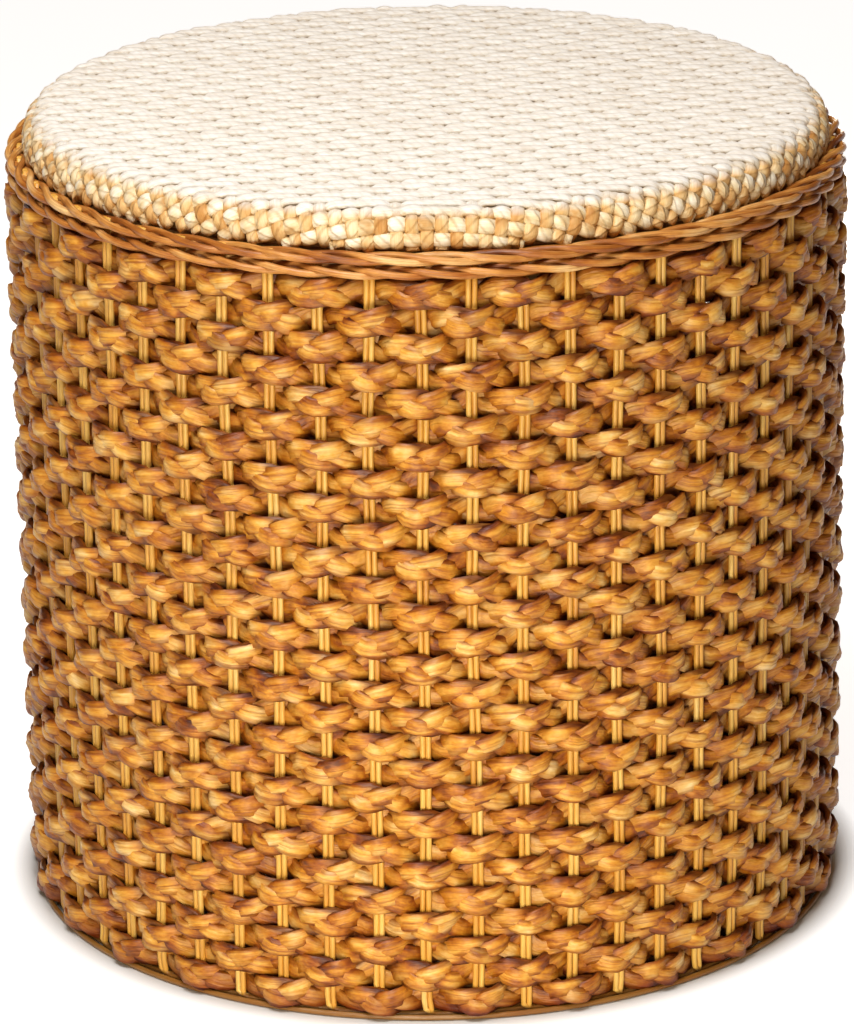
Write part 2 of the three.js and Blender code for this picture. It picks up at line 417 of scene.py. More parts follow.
# %% Stem colours
# Dried water plant, pressed by hand: satin, with soft broad highlights on the crowns.
values = {"Roughness": 0.45, "Specular IOR Level": 0.42}
plait_finish = new_material("dried_water_plant", values)
lay = add_node(plait_finish, "Attribute", {}, "Vector", attribute_name="lay")
# Patches 10 to 30 mm long.
spread = add_node(plait_finish, "Mapping", {"Vector": lay, "Scale": (58, 80, 7.3)})
inputs = {"Vector": spread, "Scale": 1.0, "Detail": 4.0, "Roughness": 0.62}
patches = add_node(plait_finish, "TexNoise", inputs)
inputs = {"Value": patches, "From Min": 0.28, "From Max": 0.72}
patches = add_node(plait_finish, "MapRange", inputs)
tone = add_node(plait_finish, "ValToRGB", {"Fac": patches}, stops=[
    (0.0, "#6A360A"),
    (0.18, "#A05C14"),
    (0.38, "#CC8C28"),
    (0.58, "#E2AE4C"),
    (0.78, "#EECA7E"),
    (1.0, "#F6E2B2"),
])
# Red-brown bruises, up to 60 mm long.
spread = add_node(plait_finish, "Mapping", {"Vector": lay, "Scale": (17, 40, 11.1)})
inputs = {"Vector": spread, "Scale": 1.0, "Detail": 2.0, "Roughness": 0.55}
bruise = add_node(plait_finish, "TexNoise", inputs)
inputs = {"Value": bruise, "From Min": 0.62, "From Max": 0.74, "To Max": 0.6}
bruise = add_node(plait_finish, "MapRange", inputs)
inputs = {0: bruise, 6: tone, 7: linear("#7A4A1C")}
tone = add_node(plait_finish, "Mix", inputs, 2, data_type="RGBA")
print("stem colours from straw to brown")

# %% [markdown]
# Over the stems' own colour lie four coats. The fibres' creases are dark. Each strand is
# painted browner at its edges, as painted shade where its round sides turn from the light.
# It is painted darker in the folds and behind the stakes, as painted shade. The lowest row
# is painted browner near the floor, as painted shade. Grain and painted shade only ever
# darken what lies under them, so one function multiplies a colour by such coats, one after
# another.

# %% Stem wear and relief
# Multiplies a colour by coats of grain and of painted shade.
def stain_and_shade(material, tone, coats):
    """Darkens a colour. Each coat is a strength, what it follows, and its ramp's stops."""
    for strength, follows, stops in coats:
        coat = add_node(material, "ValToRGB", {"Fac": follows}, stops=stops)
        inputs = {0: strength, 6: tone, 7: coat}
        tone = add_node(material, "Mix", inputs, 2, data_type="RGBA", blend_type="MULTIPLY")
    return tone


# Creases 2 mm across and 30 mm long. Real fibres are finer than would show.
spread = add_node(plait_finish, "Mapping", {"Vector": lay, "Scale": (33, 520, 3.1)})
inputs = {"Vector": spread, "Scale": 1.0, "Detail": 3.0, "Roughness": 0.55}
fibre = add_node(plait_finish, "TexNoise", inputs)
# How far a point lies from the middle of its strand's face, for the painted shade at the
# edges.
round_strand = add_node(plait_finish, "SeparateXYZ", {"Vector": lay}, "Y")
edge = add_node(plait_finish, "Math", {0: round_strand}, operation="ABSOLUTE")
inputs = {"Value": edge, "From Min": 0.002, "From Max": 0.0052}
edge = add_node(plait_finish, "MapRange", inputs)
# The bent plait's crown value, for painted shade in the folds and behind the stakes.
crown_shade = add_node(plait_finish, "Attribute", {}, "Fac", attribute_name="crown_shade")
# Height above the floor, for the painted shade on the lowest row: browner below 16 mm.
place = add_node(plait_finish, "TexCoord", {}, "Object")
height = add_node(plait_finish, "SeparateXYZ", {"Vector": place}, "Z")
inputs = {"Value": height, "From Min": 0.004, "From Max": 0.016}
floor_shade_mask = add_node(plait_finish, "MapRange", inputs)
tone = stain_and_shade(plait_finish, tone, [
    (0.8, fibre, [(0.32, "#A87848"), (0.5, "#EFE0C8"), (0.68, "#FFFFFF")]),
    # Painted shade: browner towards each strand's edges.
    (0.75, edge, [(0.0, "#FFFFFF"), (1.0, "#A4682E")]),
    # Painted shade in the folds and behind the stakes.
    (0.85, crown_shade, [(0.05, "#7A4612"), (0.5, "#F0DCB8"), (0.8, "#FFFFFF")]),
    # Painted shade on the lowest row, near the floor.
    (1.0, floor_shade_mask, [(0.0, "#B4845A"), (1.0, "#FFFFFF")]),
])
# Short wrinkles, 9 mm long and 2 mm across.
spread = add_node(plait_finish, "Mapping", {"Vector": lay, "Scale": (110, 420, 5.7)})
inputs = {"Vector": spread, "Scale": 1.0, "Detail": 2.0, "Roughness": 0.55}
wrinkle = add_node(plait_finish, "TexNoise", inputs)
relief = add_node(plait_finish, "Math", {0: fibre, 1: wrinkle}, operation="ADD")
inputs = {"Height": relief, "Distance": 0.0012, "Strength": 0.8}
bump = add_node(plait_finish, "Bump", inputs)
link_shader(plait_finish, {"Base Color": tone, "Normal": bump})

# %% [markdown]
# ## The plait's strands
#
# Three strands pass over each other in turn. Seen from the face, each swings from side to
# side once in two stakes, a third of a repeat behind the last, and dips twice as often. Two
# sine waves give this, so no strand has to be drawn by hand. Each is pressed flatter than
# round. The drifts are a real plait's unevenness: a size, and a wavelength in millimetres.

# %% Straight plait
STRANDS = 3
STRAND_HALF_WIDTH = 4.5
STRAND_HALF_DEPTH = 2.1
SECTION_CORNERS = 14
SECTION_POWER = 0.8
SWING = 3.0
EDGE_SHARE = 0.22
DIP = 1.8
STEPS_PER_STAKE = 8
LOBE_PHASE = np.radians(72)
PLAIT_DRIFT = (0.45, 900)
STRAND_DRIFT = (0.12, 140)
SWING_DRIFT = (0.06, 120)
SIDE_DRIFT = (0.2, 90)
DIP_DRIFT = (0.18, 70)
WIDTH_DRIFT = (0.07, 60)


def straight_plait(first, last):
    """The lines and widths of the strands from one stake to another, laid along X."""
    steps = np.arange(first * STEPS_PER_STAKE, last * STEPS_PER_STAKE + 1)
    stakes = steps / STEPS_PER_STAKE
    along = (stakes - first) * STAKE_STEP
    drift = wander(along, *PLAIT_DRIFT)
    lines, widths = [], []
    for strand in range(STRANDS):
        phase = np.pi * stakes + LOBE_PHASE + drift + strand * FULL_TURN / STRANDS
        phase = phase + wander(along, *STRAND_DRIFT)
        side = np.sin(phase)
        swing = SWING * (1 + EDGE_SHARE * (1 - side**2)) * (1 + wander(along, *SWING_DRIFT))
        across = swing * side + wander(along, *SIDE_DRIFT)
        out = DIP * np.sin(2 * phase) + wander(along, *DIP_DRIFT)
        lines.append(np.column_stack([along, across, out]))
        widths.append(1 + wander(along, *WIDTH_DRIFT))
    return lines, widths


print("plait thickness:", 2 * (DIP + STRAND_HALF_DEPTH), "mm")

# %% [markdown]
# The plait is one spiral of 28 rows. The rows run level, and climb by one row over six
# stakes at the back, where a weaver steps up. An even slope all round would be simpler, but
# the front rows are level. The first turn lies a little lower, down on the foot border.

# %% Height of the rows
ROWS = 28
PLAIT_HEIGHT = 13.83
ROW_PITCH = 14.13
WOVEN_BOTTOM = 4.3
WOVEN_TOP = 399.64
RAMP_STAKES = 6
LOWEST = 3.4


def plait_middle(stake):
    """The height of the plait's middle: level, then a ramp of one row at the back."""
    turn_count = np.floor(stake / STAKES)
    share = (stake - turn_count * STAKES - (STAKES - RAMP_STAKES)) / RAMP_STAKES
    share = np.clip(share, 0, 1)
    climb = share * share * (3 - 2 * share)
    middle = WOVEN_BOTTOM + PLAIT_HEIGHT / 2 + ROW_PITCH * (turn_count + climb)
    return middle - (WOVEN_BOTTOM - LOWEST) * np.clip(1 - stake / STAKES, 0, 1)


print("top row's middle at", plait_middle((ROWS - 0.5) * STAKES), "mm")

# %% [markdown]
# Bending takes each point of the straight plait onto the drum: its length becomes an angle,
# and its way over one stake pair and under the next becomes a wave in the radius. A lattice
# or curve modifier could bend it too, but a function also knows how far behind the stakes a
# point is. The plait lies flat on a stake and turns in quickly beside it. Behind a stake it
# spreads up a little and down more, and so closes the wall.

# %% Bending the plait
SPIRAL_START = FRONT_STAKE - (STAKES // 2) * STAKE_ANGLE
WEAVE_REACH = 4.9
FLAT_SHARE = 0.35
UP_SHARE = 0.1
DOWN_SHARE = 0.5
# How much deeper the painted shade is behind the stakes.
BEHIND_SHADE_SHARE = 0.4
TOP_FACE = DIP + STRAND_HALF_DEPTH


def bend_plait(first):
    """A function that bends a straight plait, which starts at a stake, onto the drum."""
    def bend(points):
        along, across, out = points.T
        stake = first + along / STAKE_STEP
        cosine = -np.cos(np.pi * stake)
        wave = cosine * (1 + FLAT_SHARE * (1 - cosine**2))
        slope = np.pi * np.sin(np.pi * stake) * (1 + FLAT_SHARE * (1 - 3 * cosine**2))
        lean = WEAVE_REACH / STAKE_STEP * slope
        stretch = np.hypot(1, lean)
        radius = STAKE_RING + WEAVE_REACH * wave + out / stretch
        angle = SPIRAL_START + (stake - out * lean / stretch / STAKE_STEP) * STAKE_ANGLE
        middle = plait_middle(stake)
        behind = (1 - wave) / 2
        half = PLAIT_HEIGHT / 2
        low = np.maximum(middle - half * (1 + DOWN_SHARE * behind), LOWEST)
        high = np.minimum(middle + half * (1 + UP_SHARE * behind), WOVEN_TOP)
        z = (low + high) / 2 + across * (high - low) / PLAIT_HEIGHT
        # Painted shade: this value falls in the folds and further behind the stakes, and
        # the material darkens there.
        crown_shade = np.clip(np.abs(out) / TOP_FACE, 0, 1) * (1 - BEHIND_SHADE_SHARE * behind)
        return on_drum(angle, radius, z), crown_shade
    return bend


print("the plait reaches", WEAVE_REACH, "mm in and out of the stakes")

# %% [markdown]
# A plait of 42 metres is worked from lengths joined end to end, four turns to each. So the
# spiral is made in seven pieces, which also keeps each mesh a workable size.

# %% Plait lengths
CREASE = 0.16
TAIL_STAKES = 2
TURNS_PER_LENGTH = 4

length_count = ROWS // TURNS_PER_LENGTH
for i in range(length_count):
    first, last = i * TURNS_PER_LENGTH * STAKES, (i + 1) * TURNS_PER_LENGTH * STAKES
    if i == 0:
        first = TAIL_STAKES - RAMP_STAKES
    if i == length_count - 1:
        last -= TAIL_STAKES
    name = f"plait_length_{i + 1}"
    lines, widths = straight_plait(first, last)
    section = oval(STRAND_HALF_WIDTH, STRAND_HALF_DEPTH, SECTION_CORNERS, SECTION_POWER)
    bend = bend_plait(first)
    piece = sweep(name, lines, section, widths=widths, bend=bend, crease=CREASE)
    finish_piece(piece, plait_finish, [name])

# %% [markdown]
# ## The cane's finish
#
# Split cane keeps its hard smooth bark. It is straw yellow, in long patches, with a fine
# grain along it, and the ends that were soaked and bent are browner. The brown ends could
# be a second material, but a colour that follows the height has no hard border.

# %% Cane material
# Split cane with its bark on: harder and glossier than the plait, with narrow highlights.
cane_finish = new_material("split_cane", {"Roughness": 0.38, "Specular IOR Level": 0.5})
lay = add_node(cane_finish, "Attribute", {}, "Vector", attribute_name="lay")
# Patches about 60 mm long, different on each rod.
spread = add_node(cane_finish, "Mapping", {"Vector": lay, "Scale": (16, 30, 5.3)})
inputs = {"Vector": spread, "Scale": 1.0, "Detail": 3.0, "Roughness": 0.55}
patches = add_node(cane_finish, "TexNoise", inputs)
tone = add_node(cane_finish, "ValToRGB", {"Fac": patches}, stops=[
    (0.3, "#D0902C"),
    (0.45, "#EAB44C"),
    (0.6, "#F5CC68"),
    (0.75, "#F9DC8C"),
])
# Grain, 0.4 mm across.
spread = add_node(cane_finish, "Mapping", {"Vector": lay, "Scale": (60, 2500, 9.7)})
inputs = {"Vector": spread, "Scale": 1.0, "Detail": 2.0, "Roughness": 0.55}
grain = add_node(cane_finish, "TexNoise", inputs)
tone = stain_and_shade(cane_finish, tone, [(0.6, grain, [(0.3, "#DCB478"), (0.6, "#FFFFFF")])])
# Soaked ends, below 5 mm.
place = add_node(cane_finish, "TexCoord", {}, "Object")
height = add_node(cane_finish, "SeparateXYZ", {"Vector": place}, "Z")
inputs = {"Value": height, "From Min": 0.005, "From Max": 0.003, "To Max": 0.85}
soaked = add_node(cane_finish, "MapRange", inputs)
inputs = {0: soaked, 6: tone, 7: linear("#6A3C16")}
tone = add_node(cane_finish, "Mix", inputs, 2, data_type="RGBA")
bump = add_node(cane_finish, "Bump", {"Height": grain, "Distance": 0.0003, "Strength": 0.6})
link_shader(cane_finish, {"Base Color": tone, "Normal": bump})

# %% [markdown]
# ## Stakes and foot border
#
# The stakes are pairs of cane rods, three millimetres thick. Each stands from under the mat
# down to a knee, turns under and runs inwards between its neighbours, so that all together
# form the flat border that the stool stands on. A plain cylinder has no knee, so each rod
# is one swept line of three stretches. The pairs lean a little, as they do in the weave.

# %% Stake rods
ROD_RADIUS = 1.5
ROD_CORNERS = 8
ROD_OFFSET = 1.5
ROD_TOP = 412.1
ROD_BOTTOM = 10.0
STANDING_POINTS = 24
PAIR_LEAN = (0.8, 420)
ROD_LEAN = (0.1, 150)
KNEE_Z = np.array([5.0, 2.8, 1.8])
KNEE_STAKES = (0.05, 0.16)
BORDER_Z = 1.7
BORDER_START = 214.6
BORDER_DRIFT = 6.5
BORDER_FROM, BORDER_TO = 0.35, 4.4
BORDER_REACH = BORDER_TO - BORDER_FROM
BORDER_POINTS = 26

standing_z = np.linspace(ROD_TOP, ROD_BOTTOM, STANDING_POINTS)
border_run = np.linspace(BORDER_FROM, BORDER_TO, BORDER_POINTS)
inwards = BORDER_DRIFT * (border_run - BORDER_FROM) ** 1.5 / BORDER_REACH**0.5
rods = []
for i in range(STAKES):
    angle = FRONT_STAKE + i * STAKE_ANGLE
    pair_lean = wander(standing_z, *PAIR_LEAN)
    for side in (-1, 1):
        sideways = side * ROD_OFFSET + pair_lean + wander(standing_z, *ROD_LEAN)
        ring = np.full(STANDING_POINTS, STAKE_RING)
        standing = on_drum(angle + sideways / STAKE_RING, ring, standing_z)
        start = BORDER_START - (1 - side) * BORDER_DRIFT / 4
        to_knee, past_knee = (share * STAKE_ANGLE for share in KNEE_STAKES)
        knee_angle = angle + np.array([side * ROD_OFFSET / STAKE_RING, to_knee, past_knee])
        knee_radius = np.array([STAKE_RING, STAKE_RING - 0.1, (STAKE_RING + start) / 2])
        knee = on_drum(knee_angle, knee_radius, KNEE_Z)
        turned = on_drum(angle + border_run * STAKE_ANGLE, start - inwards, BORDER_Z)
        rods.append(np.vstack([standing, knee, turned]))
stakes = sweep("stakes", rods, oval(ROD_RADIUS, ROD_RADIUS, ROD_CORNERS), twist="MINIMUM")
finish_piece(stakes, cane_finish, ["stake_cage"])

# %% [markdown]
# One more cane runs round the outside of the border and hides where the rods turn under. A
# torus would have the same form, but a swept ring also gets the lay that its grain follows.

# %% Foot cane
EDGE_RING = 219.0
EDGE_POINTS = 240

edge_angle = np.linspace(0, FULL_TURN, EDGE_POINTS, endpoint=False)
edge_line = on_drum(edge_angle, np.full(EDGE_POINTS, EDGE_RING), BORDER_Z)
edge_section = oval(ROD_RADIUS, ROD_RADIUS, ROD_CORNERS)
foot_cane = sweep("foot_cane", [edge_line], edge_section, closed=True)
finish_piece(foot_cane, cane_finish)

# %% [markdown]
# ## The wale's finish
#
# Two rows of thin brown cane, called the wale, close the wall under the seat. They are the
# same plant as the stakes, darker and rubbed. They could share the stakes' material with
# another colour, but their streaks are stronger and their grain is coarser.

# %% Wale material
# Brown cane with its bark rubbed thin: satin, streaked dark and light where it was bent.
wale_finish = new_material("brown_cane", {"Roughness": 0.36, "Specular IOR Level": 0.4})
lay = add_node(wale_finish, "Attribute", {}, "Vector", attribute_name="lay")
# Patches about 50 mm long.
spread = add_node(wale_finish, "Mapping", {"Vector": lay, "Scale": (20, 40, 3.9)})
inputs = {"Vector": spread, "Scale": 1.0, "Detail": 4.0, "Roughness": 0.55}
patches = add_node(wale_finish, "TexNoise", inputs)
tone = add_node(wale_finish, "ValToRGB", {"Fac": patches}, stops=[
    (0.3, "#6E3410"),
    (0.44, "#B06C2A"),
    (0.56, "#D89C50"),
    (0.68, "#F6D090"),
])
# Grain, 0.6 mm across.
spread = add_node(wale_finish, "Mapping", {"Vector": lay, "Scale": (50, 1600, 6.1)})
inputs = {"Vector": spread, "Scale": 1.0, "Detail": 2.0, "Roughness": 0.55}
grain = add_node(wale_finish, "TexNoise", inputs)
tone = stain_and_shade(wale_finish, tone, [(0.7, grain, [(0.3, "#B48656"), (0.6, "#FFFFFF")])])
bump = add_node(wale_finish, "Bump", {"Height": grain, "Distance": 0.0005, "Strength": 0.7})
link_shader(wale_finish, {"Base Color": tone, "Normal": bump})

# %% [markdown]
# ## The wale's rows
#
# In each row three canes run together round the stakes: each passes outside two stakes and
# behind the third, and slopes down over the others as it goes. Three separate rings would
# never cross. With 53 stakes the three join up end to end after three turns, so one long
# cane makes a row.

# %% Wale rows
WALE_HALF_WIDTH = 1.95
WALE_HALF_HEIGHT = 1.9
WALE_CORNERS = 8
WALE_STEPS = 8
WALE_TURNS = 3
WALE_LIFT = 1.5
WALE_REACH = 4.0
WALE_OUT = 1.6

wale_heights = {"wale_lower": 403.4, "wale_upper": 410.63}
stake = np.arange(WALE_TURNS * STAKES * WALE_STEPS) / WALE_STEPS
phase = FULL_TURN * stake / WALE_TURNS
radius = STAKE_RING + WALE_OUT - WALE_REACH * np.cos(phase)
for row, (name, z) in enumerate(wale_heights.items()):
    angle = FRONT_STAKE + (stake + row) * STAKE_ANGLE
    line = on_drum(angle, radius, z + WALE_LIFT * np.sin(phase))
    section = oval(WALE_HALF_WIDTH, WALE_HALF_HEIGHT, WALE_CORNERS)
    finish_piece(sweep(name, [line], section, closed=True), wale_finish, [name])

# %% [markdown]
# ## The mat's finish
#
# The mat is pale cord of two plies. It is painted nearly white on top, as painted light
# from the lamps above, and creamier on the turned-down edge, where the cords that run from
# front to back are stained golden. An attribute called stained tells those cords from the
# others, which a second material could do too, but the two are one cord with the same
# patches.

# %% Cord colours
# Pale plant cord, twisted: soft and matt, with no clear highlights.
mat_finish = new_material("pale_cord", {"Roughness": 0.62, "Specular IOR Level": 0.35})
lay = add_node(mat_finish, "Attribute", {}, "Vector", attribute_name="lay")
place = add_node(mat_finish, "TexCoord", {}, "Object")
height = add_node(mat_finish, "SeparateXYZ", {"Vector": place}, "Z")
# Patches 10 to 25 mm long.
spread = add_node(mat_finish, "Mapping", {"Vector": lay, "Scale": (70, 90, 8.9)})
inputs = {"Vector": spread, "Scale": 1.0, "Detail": 3.0, "Roughness": 0.55}
patches = add_node(mat_finish, "TexNoise", inputs)
cord_colours = {
    "top": [(0.3, "#E8E3DA"), (0.5, "#EFECE5"), (0.7, "#F3F2ED")],
    "side": [(0.34, "#C89C60"), (0.47, "#EBD8AE"), (0.62, "#F6F0DE")],
    "stained": [(0.35, "#C48E4C"), (0.5, "#E2BC80"), (0.66, "#F2E0B8")],
}
top, side, golden = (
    add_node(mat_finish, "ValToRGB", {"Fac": patches}, stops=stops)
    for stops in cord_colours.values()
)
stained = add_node(mat_finish, "Attribute", {}, "Fac", attribute_name="stained")
side = add_node(mat_finish, "Mix", {0: stained, 6: side, 7: golden}, 2, data_type="RGBA")
# Painted light: the top's colours are paler than the edge's, as if lit from the lamps
# above.
inputs = {"Value": height, "From Min": 0.4285, "From Max": 0.4325}
on_top = add_node(mat_finish, "MapRange", inputs)
tone = add_node(mat_finish, "Mix", {0: on_top, 6: side, 7: top}, 2, data_type="RGBA")
print("cord colours:", ", ".join(cord_colours))

# %% [markdown]
# The two plies leave slanted grooves across each cord, which are worn flat on top. Twisting
# the mesh itself would cost many times the faces for a groove a millimetre wide, so this is
# a repeating pattern in colour and bump. The cords are painted tan down in the gaps, as
# painted shade, more on the turned-down edge than on top.

# %% Cord twist and relief
# Grooves 5 mm apart along the cord. Patches push them about, so that they aren't even.
along = add_node(mat_finish, "SeparateXYZ", {"Vector": lay}, "X")
round_cord = add_node(mat_finish, "SeparateXYZ", {"Vector": lay}, "Y")
slant = add_node(mat_finish, "Math", {0: round_cord, 1: 0.8}, operation="MULTIPLY")
push = add_node(mat_finish, "Math", {0: patches, 1: 0.004}, operation="MULTIPLY")
slanted = add_node(mat_finish, "Math", {0: along, 1: slant}, operation="ADD")
slanted = add_node(mat_finish, "Math", {0: slanted, 1: push}, operation="ADD")
groove = add_node(mat_finish, "Math", {0: slanted, 1: 0.0025}, operation="PINGPONG")
groove = add_node(mat_finish, "MapRange", {"Value": groove, "From Max": 0.001})
worn = add_node(mat_finish, "Math", {0: on_top, 1: 0.75}, operation="MULTIPLY")
groove = add_node(mat_finish, "Math", {0: groove, 1: worn}, operation="MAXIMUM")
# Fibres 0.7 mm across.
spread = add_node(mat_finish, "Mapping", {"Vector": lay, "Scale": (150, 1400, 2.3)})
inputs = {"Vector": spread, "Scale": 1.0, "Detail": 2.0, "Roughness": 0.55}
fibre = add_node(mat_finish, "TexNoise", inputs)
# Painted shade down in the gaps between cords, stronger on the turned-down edge than on
# top.
crown_shade = add_node(mat_finish, "Attribute", {}, "Fac", attribute_name="crown_shade")
inputs = {"Value": on_top, "To Min": 0.9, "To Max": 0.5}
gap_shade_share = add_node(mat_finish, "MapRange", inputs)
tone = stain_and_shade(mat_finish, tone, [
    # Painted shade down in the gaps.
    (gap_shade_share, crown_shade, [(0.3, "#B09262"), (0.7, "#F3EADA"), (0.88, "#FFFFFF")]),
    (0.5, fibre, [(0.3, "#E2D6BE"), (0.6, "#FFFFFF")]),
    (0.4, groove, [(0.0, "#C8AC7C"), (1.0, "#FFFFFF")]),
])
relief = add_node(mat_finish, "Math", {0: fibre, 1: 0.6}, operation="MULTIPLY")
relief = add_node(mat_finish, "Math", {0: groove, 1: relief}, operation="ADD")
bump = add_node(mat_finish, "Bump", {"Height": relief, "Distance": 0.0006, "Strength": 0.7})
link_shader(mat_finish, {"Base Color": tone, "Normal": bump})

# %% [markdown]
# ## Folding the mat
#
# The mat is woven flat and then turned down over the seat's edge. It is stiff, and lies on
# a board, so a cloth simulation would have nothing to do. A function folds it: points past
# the start of the rim go round a quarter circle, and the rest goes straight down.

# %% Fold
SEAT_TOP = 434.6
CORD_HALF_DEPTH = 2.0
WEFT_HIGH = 1.7
CORD_FACE = WEFT_HIGH + CORD_HALF_DEPTH
MAT_SURFACE = SEAT_TOP - CORD_FACE
MAT_OUTSIDE = 213.9
RIM_RADIUS = 11.0
RIM_START = MAT_OUTSIDE - CORD_FACE - RIM_RADIUS
SIDE_LENGTH = 7.0
MAT_RADIUS = RIM_START + RIM_RADIUS * np.pi / 2 + SIDE_LENGTH


def fold_mat(turned):
    """A function that turns the flat mat, and folds its edge down over the rim."""
    def bend(points):
        x, y, out = points.T
        reach = np.hypot(x, y)
        angle = np.arctan2(y, x) + turned
        past = np.clip(reach - RIM_START, 0, None)
        fold = np.clip(past / RIM_RADIUS, 0, np.pi / 2)
        down = np.clip(past - RIM_RADIUS * np.pi / 2, 0, None)
        radius = np.minimum(reach, RIM_START) + (RIM_RADIUS + out) * np.sin(fold)
        z = MAT_SURFACE - RIM_RADIUS + (RIM_RADIUS + out) * np.cos(fold) - down
        # How high a point lies on its cord, for the painted shade in the gaps.
        crown_shade = np.clip(0.5 + 0.5 * out / CORD_FACE, 0, 1)
        return on_drum(angle, radius, z), crown_shade
    return bend


print("flat mat:", round(2 * MAT_RADIUS), "mm across")

# %% [markdown]
# ## The mat's cords
#
# The cords lie 7.5 mm apart both ways. Each one that runs from side to side passes over
# four others and under the fifth, two cords further along in each next row. So the top
# shows even rows, with a short dark dash wherever a cord dips. At the rim the weave is a
# plain one, over one and under one. A flat sheet with the weave as a pattern would do from
# far off, but the dashes and the knobbly rim are what the eye finds first, so each cord is
# made.

# %% Mat cords
CORD_PITCH = 7.5
CORD_HALF_WIDTH = 3.75
CORD_CORNERS = 8
CORD_STEPS = 4
WEFT_DIP = -1.2
WARP_LOW = -1.9
WARP_RISE = 0.5
CROSSINGS_PER_DIP = 5
DIP_SHIFT = 2
EDGE_LIFT = 1.6
CORD_DRIFT = (0.3, 70)
CORD_WIDTH_DRIFT = (0.05, 40)


def cord_set(name, turned, usual, at_dip):
    """All cords along X. Each keeps to its usual height but at every fifth crossing.

    Near the edge each goes up and down at every crossing instead.
    """
    count = int(MAT_RADIUS / CORD_PITCH)
    lines, widths = [], []
    for row in range(-count, count + 1):
        offset = row * CORD_PITCH
        half = np.sqrt(MAT_RADIUS**2 - offset**2)
        steps = int(half / CORD_PITCH * CORD_STEPS)
        along = np.arange(-steps, steps + 1) * CORD_PITCH / CORD_STEPS
        crossing = along / CORD_PITCH - DIP_SHIFT * row + CROSSINGS_PER_DIP / 2
        from_dip = np.abs(crossing % CROSSINGS_PER_DIP - CROSSINGS_PER_DIP / 2)
        near = (1 + np.cos(np.pi * np.clip(from_dip, 0, 1))) / 2
        out = usual + (at_dip - usual) * near
        plain = EDGE_LIFT * np.sign(usual) * np.cos(np.pi * (along / CORD_PITCH + row))
        at_edge = np.clip((np.hypot(along, offset) - RIM_START) / CORD_PITCH, 0, 1)
        out = out + (plain - out) * at_edge
        across = offset + wander(along, *CORD_DRIFT)
        lines.append(np.column_stack([along, across, out]))
        widths.append(1 + wander(along, *CORD_WIDTH_DRIFT))
    section = oval(CORD_HALF_WIDTH, CORD_HALF_DEPTH, CORD_CORNERS)
    return sweep(name, lines, section, widths=widths, bend=fold_mat(turned))


weft = cord_set("mat_weft", 0.0, WEFT_HIGH, WEFT_DIP)
finish_piece(weft, mat_finish, ["seat_mat"])
warp = cord_set("mat_warp", np.pi / 2, WARP_LOW, WARP_RISE)
stained = warp.data.attributes.new("stained", "FLOAT", "POINT")
stained.data.foreach_set("value", np.ones(len(warp.data.vertices)))
finish_piece(warp, mat_finish)

# %% [markdown]
# ## The frame inside
#
# Peeled rattan poles, which can be seen from underneath. A pole is evenly thick but for its
# joints, the darker rings where a leaf once grew. Rings of their own would be extra pieces
# for next to nothing, so they are a pattern that repeats along the pole.

# %% Rattan material
# Peeled rattan: the bark is off, so it is paler and duller than cane.
values = {"Roughness": 0.45, "Specular IOR Level": 0.45}
rattan_finish = new_material("peeled_rattan", values)
lay = add_node(rattan_finish, "Attribute", {}, "Vector", attribute_name="lay")
# Patches about 140 mm long.
spread = add_node(rattan_finish, "Mapping", {"Vector": lay, "Scale": (7, 25, 4.3)})
inputs = {"Vector": spread, "Scale": 1.0, "Detail": 3.0, "Roughness": 0.55}
patches = add_node(rattan_finish, "TexNoise", inputs)
stops = [(0.3, "#B07C40"), (0.5, "#CD9F5E"), (0.7, "#DFBC84")]
tone = add_node(rattan_finish, "ValToRGB", {"Fac": patches}, stops=stops)
# Grain, about 1 mm across.
spread = add_node(rattan_finish, "Mapping", {"Vector": lay, "Scale": (12, 900, 8.1)})
inputs = {"Vector": spread, "Scale": 1.0, "Detail": 2.0, "Roughness": 0.55}
grain = add_node(rattan_finish, "TexNoise", inputs)
tone = stain_and_shade(rattan_finish, tone, [(0.6, grain, [(0.35, "#C39A6A"), (0.6, "#FFFFFF")])])
# A joint every 210 mm, 4 mm wide, and at another place on each pole.
along = add_node(rattan_finish, "SeparateXYZ", {"Vector": lay}, "X")
number = add_node(rattan_finish, "SeparateXYZ", {"Vector": lay}, "Z")
shift = add_node(rattan_finish, "Math", {0: number, 1: 0.077}, operation="MULTIPLY")
shifted = add_node(rattan_finish, "Math", {0: along, 1: shift}, operation="ADD")
within = add_node(rattan_finish, "Math", {0: shifted, 1: 0.105}, operation="PINGPONG")
inputs = {"Value": within, "From Min": 0.003, "From Max": 0.001}
joint = add_node(rattan_finish, "MapRange", inputs)
share = add_node(rattan_finish, "Math", {0: joint, 1: 0.7}, operation="MULTIPLY")
inputs = {0: share, 6: tone, 7: linear("#7A4C20")}
tone = add_node(rattan_finish, "Mix", inputs, 2, data_type="RGBA")
relief = add_node(rattan_finish, "Math", {0: grain, 1: joint}, operation="ADD")
inputs = {"Height": relief, "Distance": 0.0006, "Strength": 0.6}
bump = add_node(rattan_finish, "Bump", inputs)
link_shader(rattan_finish, {"Base Color": tone, "Normal": bump})

# %% [markdown]
# Two hoops and eight uprights make the cage, a smaller hoop stiffens it half way up, and a
# cross of rails carries the board. Cylinders and tori would have the same form, but swept
# poles get the lay that their grain and joints follow. The ends are let into the hoops.

